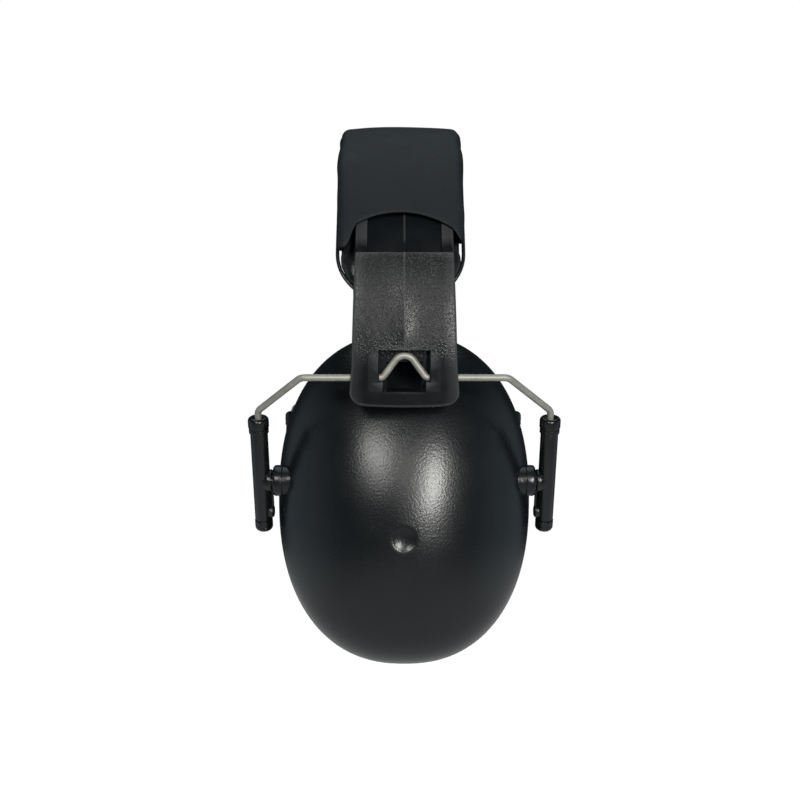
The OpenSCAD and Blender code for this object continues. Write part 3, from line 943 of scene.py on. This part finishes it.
def tube_collar():
    """The turned guide on the tube's top: a countersunk mouth, a groove and a skirt."""
    inner = WIRE_R + 0.06
    corners = [(inner, -18.2), (inner, -19.6), (2.0, -21.0), (3.1, -21.0), (3.1, -17.95), (2.78, -17.85),
               (2.78, -17.45), (2.95, -17.35), (2.95, -16.12), (2.24, -16.12), (2.24, -18.2)]
    radii = [0, 0.15, 0.12, 1.0, 0.12, 0, 0, 0.1, 0.12, 0, 0]
    collar = turned("left_rear_collar", corners, radii, on_tube(0), -TUBE_UP, 96)
    four_places(collar, "collar", "sliders", "tube_collar", MATERIALS["collar"])


def tube_cap():
    """The rounded plug in the tube's lower end, with a fine groove above and across its skirt."""
    corners = [(0, 11.3), (1.7, 11.3), (1.7, 12.95), (2.45, 12.95), (2.45, 13.25), (2.74, 13.3),
               (2.74, 14.9), (2.6, 14.95), (2.6, 15.1), (2.72, 15.15), (2.72, 16.9), (0, 16.9)]
    radii = [0, 0, 0, 0, 0, 0.1, 0.05, 0, 0, 0.05, 1.4, 0]
    cap = turned("left_rear_cap", corners, radii, on_tube(0), -TUBE_UP, 96)
    four_places(cap, "cap", "sliders", "tube_cap", MATERIALS["collar"])


# ---------------------------------------------------------------- ear cups

def oval(half_w, half_h, count):
    points = []
    for k in range(count):
        a = 2 * math.pi * (k + 0.5) / count
        c, s = math.cos(a), math.sin(a)
        points.append((half_w * math.copysign(abs(c) ** OVAL_POWER, c),
                       half_h * math.copysign(abs(s) ** OVAL_POWER, s)))
    return points


def cup_ring(half_w, half_h, out, drop, count=128):
    return [CUP_CENTRE + Vector((out, y, z - drop)) for y, z in oval(half_w, half_h, count)]


def dome_rings(inset, degrees):
    """Rings of the dome, or of the surface inset millimetres inside it, from the rim to the peak."""
    rings = []
    for d in degrees:
        c, s = math.cos(math.radians(d)), math.sin(math.radians(d))
        rings.append(cup_ring((CUP_HALF_W - inset) * c, (CUP_HALF_H - inset) * c,
                              (CUP_DEPTH - inset) * s, CUP_DROP * s * s))
    return rings


DIMPLE = Vector((0, CUP_CENTRE.z - 9.6))
DIMPLE_R = 3.7
DIMPLE_DEPTH = 0.8
DIMPLE_SOFT = 0.8                       # how far the rim's softening reaches each way


def dimple(point):
    """How deep the moulding dimple is at a point: a shallow dish with a softened rim."""
    off = (Vector((point.y, point.z)) - DIMPLE).length
    if off > DIMPLE_R + DIMPLE_SOFT:
        return 0.0
    ball = (DIMPLE_R ** 2 + DIMPLE_DEPTH ** 2) / (2 * DIMPLE_DEPTH)
    dish = math.sqrt(max(0.0, ball ** 2 - min(off, DIMPLE_R) ** 2)) - (ball - DIMPLE_DEPTH)
    soft = 0.25 * smoothstep(-off, -DIMPLE_R - DIMPLE_SOFT, -DIMPLE_R + DIMPLE_SOFT)
    return max(dish - 0.12, 0.0) + soft * 0.5


def cup_shell():
    wall, edge = CUP_WALL, 0.6
    start = math.degrees(math.asin(edge / CUP_DEPTH))
    coarse = [start + (78 - start) * k / 38 for k in range(39)]
    degrees = coarse + [78 + 11.7 * k / 34 for k in range(1, 35)]
    outer = dome_rings(0.0, degrees)
    outer = [[p - X * dimple(p) for p in ring] for ring in outer]
    rim = []
    for a in (0.0, 22.5, 45.0, 67.5, 90.0):
        c, s = math.cos(math.radians(a)), math.sin(math.radians(a))
        rim.append((edge * (1 - c), edge * (1 - s)))
    lip = [cup_ring(CUP_HALF_W - inset, CUP_HALF_H - inset, out, 0) for inset, out in rim]
    inner = dome_rings(wall, [1.0 + 87 * k / 30 for k in range(31)])
    seat = [cup_ring(CUP_HALF_W - wall, CUP_HALF_H - wall, 0, 0)]
    rings = list(reversed(outer)) + lip + seat + inner
    cup = new_piece("left_cup", *loft(rings), angle=40)
    boss_profile = [(0, 31), (4.5, 31), (4.5, 36.6), (4.7, 36.9), (4.7, 39.6), (0, 39.6)]
    for axis in (Y, -Y):
        boss = turned("boss", boss_profile, [0, 0, 0.2, 0.3, 0.9, 0], PIVOT_MIDDLE, axis)
        combine(cup, boss, "UNION", 40)
        combine(cup, lathe("pin_hole", plug(PIN_HOLE_R, 34.5, 41), PIVOT_MIDDLE, axis), "DIFFERENCE", 40)
    both_sides(cup, "cup", "cup", ["cup_shell"], MATERIALS["cup"])


def oval_plate(name, low, high, bevel, hole_w, hole_h):
    """A flat oval ring with rounded edges."""
    outer_w, outer_h = (high.y - low.y) / 2, (high.z - low.z) / 2
    thick = high.x - low.x
    rings = []
    for inner_side, low_side in ((True, True), (False, True), (False, False), (True, False)):
        for turn in (0, 1, 2):
            a = math.radians(45 * turn)
            c, s = math.cos(a), math.sin(a)
            first, second = (c, s) if inner_side == low_side else (s, c)
            inset, rise = bevel * (1 - first), bevel * (1 - second)
            w, h = (hole_w + inset, hole_h + inset) if inner_side else (outer_w - inset, outer_h - inset)
            rings.append(cup_ring(w, h, low.x - CUP_CENTRE.x + (rise if low_side else thick - rise), 0))
    return new_piece(name, *loft(rings, closed=True), angle=50)


def base_plate():
    plate = oval_plate("left_baffle", plate_low, plate_high, 0.4, EAR_HALF_W + 1, EAR_HALF_H + 1)
    both_sides(plate, "baffle", "cup", ["base_plate"], MATERIALS["inner"])


def cushion_retainer():
    ring = oval_plate("left_retainer", retainer_low, retainer_high, 0.4, EAR_HALF_W + 1, EAR_HALF_H + 1)
    both_sides(ring, "retainer", "cup", ["cushion_ring"], MATERIALS["inner"])


def cup_absorber():
    """The block of open-cell foam inside the cup, its face soft and slightly domed."""
    half_w = (absorber_high.y - absorber_low.y) / 2
    half_h = (absorber_high.z - absorber_low.z) / 2
    middle = (absorber_high.z + absorber_low.z) / 2 - CUP_CENTRE.z
    front, back = absorber_low.x - CUP_CENTRE.x, absorber_high.x - CUP_CENTRE.x
    rings = []
    levels = [(share, front + 0.8 * share ** 4) for share in (0.04, 0.25, 0.45, 0.62, 0.76, 0.87, 0.94)]
    levels += [(0.985, front + 1.4), (1.0, front + 2.4), (1.0, back - 2.0), (0.985, back - 1.0)]
    levels += [(0.94, back - 0.3), (0.8, back), (0.04, back)]
    for share, out in levels:
        ring = cup_ring(half_w * share, half_h * share, out, -middle, 96)
        rings.append([p + X * 0.25 * wave(p, 6.0, 5) for p in ring])
    block = new_piece("left_absorber", *loft(rings), angle=60)
    for piece in both_sides(block, "absorber", "cup", ["acoustic_foam"],
                            MATERIALS["absorber"]):
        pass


def cushion_rings(inset, around, across):
    """Rings of the ear cushion: flat at the cup, crowned towards the head, walls bowed a little."""
    outer_w, outer_h = (cushion_high.y - cushion_low.y) / 2, (cushion_high.z - cushion_low.z) / 2
    base = cushion_high.x - CUP_CENTRE.x - inset * 0.5
    face = cushion_low.x - CUP_CENTRE.x + inset
    low = inset / 20
    corners = [Vector((low, base)), Vector((low, face)), Vector((1 - low, face)), Vector((1 - low, base))]
    span = 18.0
    flat = [Vector((c.x * span, c.y)) for c in corners]
    loop = rounded(flat, [1.0, 5.6, 5.6, 1.0], True, 15)
    outline = refine(loop + loop[:1], across)[:-1]
    rings = []
    for place, out in outline:
        share = place / span
        crown = 0.9 * math.sin(math.pi * min(max(share, 0), 1)) * smoothstep(base - out, 6, 12)
        w = EAR_HALF_W + (outer_w - EAR_HALF_W) * share
        h = EAR_HALF_H + (outer_h - EAR_HALF_H) * share
        rings.append(cup_ring(w, h, out - crown + 0.8, 0, around))
    return rings


def ear_cushion():
    """A vinyl ring full of foam, swollen by simulation, then puckered at its welded seams."""
    rings = cushion_rings(0.9, 220, 1.3)
    cushion = new_piece("left_cushion", *loft(rings, closed=True), angle=60)
    base = cushion_high.x - 1.6
    pinned = [v.index for v in cushion.data.vertices if v.co.x / MM > base]
    swell(cushion, 3.5, 1.0, pinned)
    for vertex in cushion.data.vertices:
        spot = vertex.co / MM
        around = math.atan2(spot.z - CUP_CENTRE.z, spot.y * 1.25)
        pucker = math.sin(46 * around + 3 * wave(spot, 12, 6)) * smoothstep(spot.x, 24.5, 31.5)
        vertex.co += vertex.normal * MM * (0.16 * pucker + 0.25 * wave(spot, 8.0, 7))
    seam_w = (cushion_high.y - cushion_low.y) / 2 + 0.1
    seam_h = (cushion_high.z - cushion_low.z) / 2 + 0.1
    profile = [(-1.4, -2.9), (0.15, -2.9), (0.5, -2.6), (0.5, -2.2), (0.15, -1.9), (-1.4, -1.9)]
    seam = new_piece("seam", *loft([cup_ring(seam_w + a, seam_h + a, b, 0, 220) for a, b in profile],
                                   closed=True))
    combine(cushion, seam, "UNION", 60)
    for piece in both_sides(cushion, "cushion", "cup", ["cushion_skin"],
                            MATERIALS["cushion"]):
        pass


def cushion_foam():
    core = new_piece("left_cushion_core", *loft(cushion_rings(2.4, 120, 2.6), closed=True), angle=60)
    for piece in both_sides(core, "cushion_core", "cup", ["cushion_foam"],
                            MATERIALS["foam"]):
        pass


def steel_nodes():
    """The swaged stoppers and pivot pins keep their CAD shape and get turned steel."""
    for side in ("left", "right"):
        for place in ("front", "rear"):
            for part in ("wire_stopper", "pivot_pin"):
                node = frame["nodes"][f"{side}_{place}_{part}"]
                node.data.materials.clear()
                node.data.materials.append(MATERIALS["steel"])


headband()
pad_cover()
pad_lining()
pad_foam()
yoke_wire()
slider_tube()
tube_collar()
tube_cap()
cup_shell()
base_plate()
cushion_retainer()
cup_absorber()
ear_cushion()
cushion_foam()
steel_nodes()
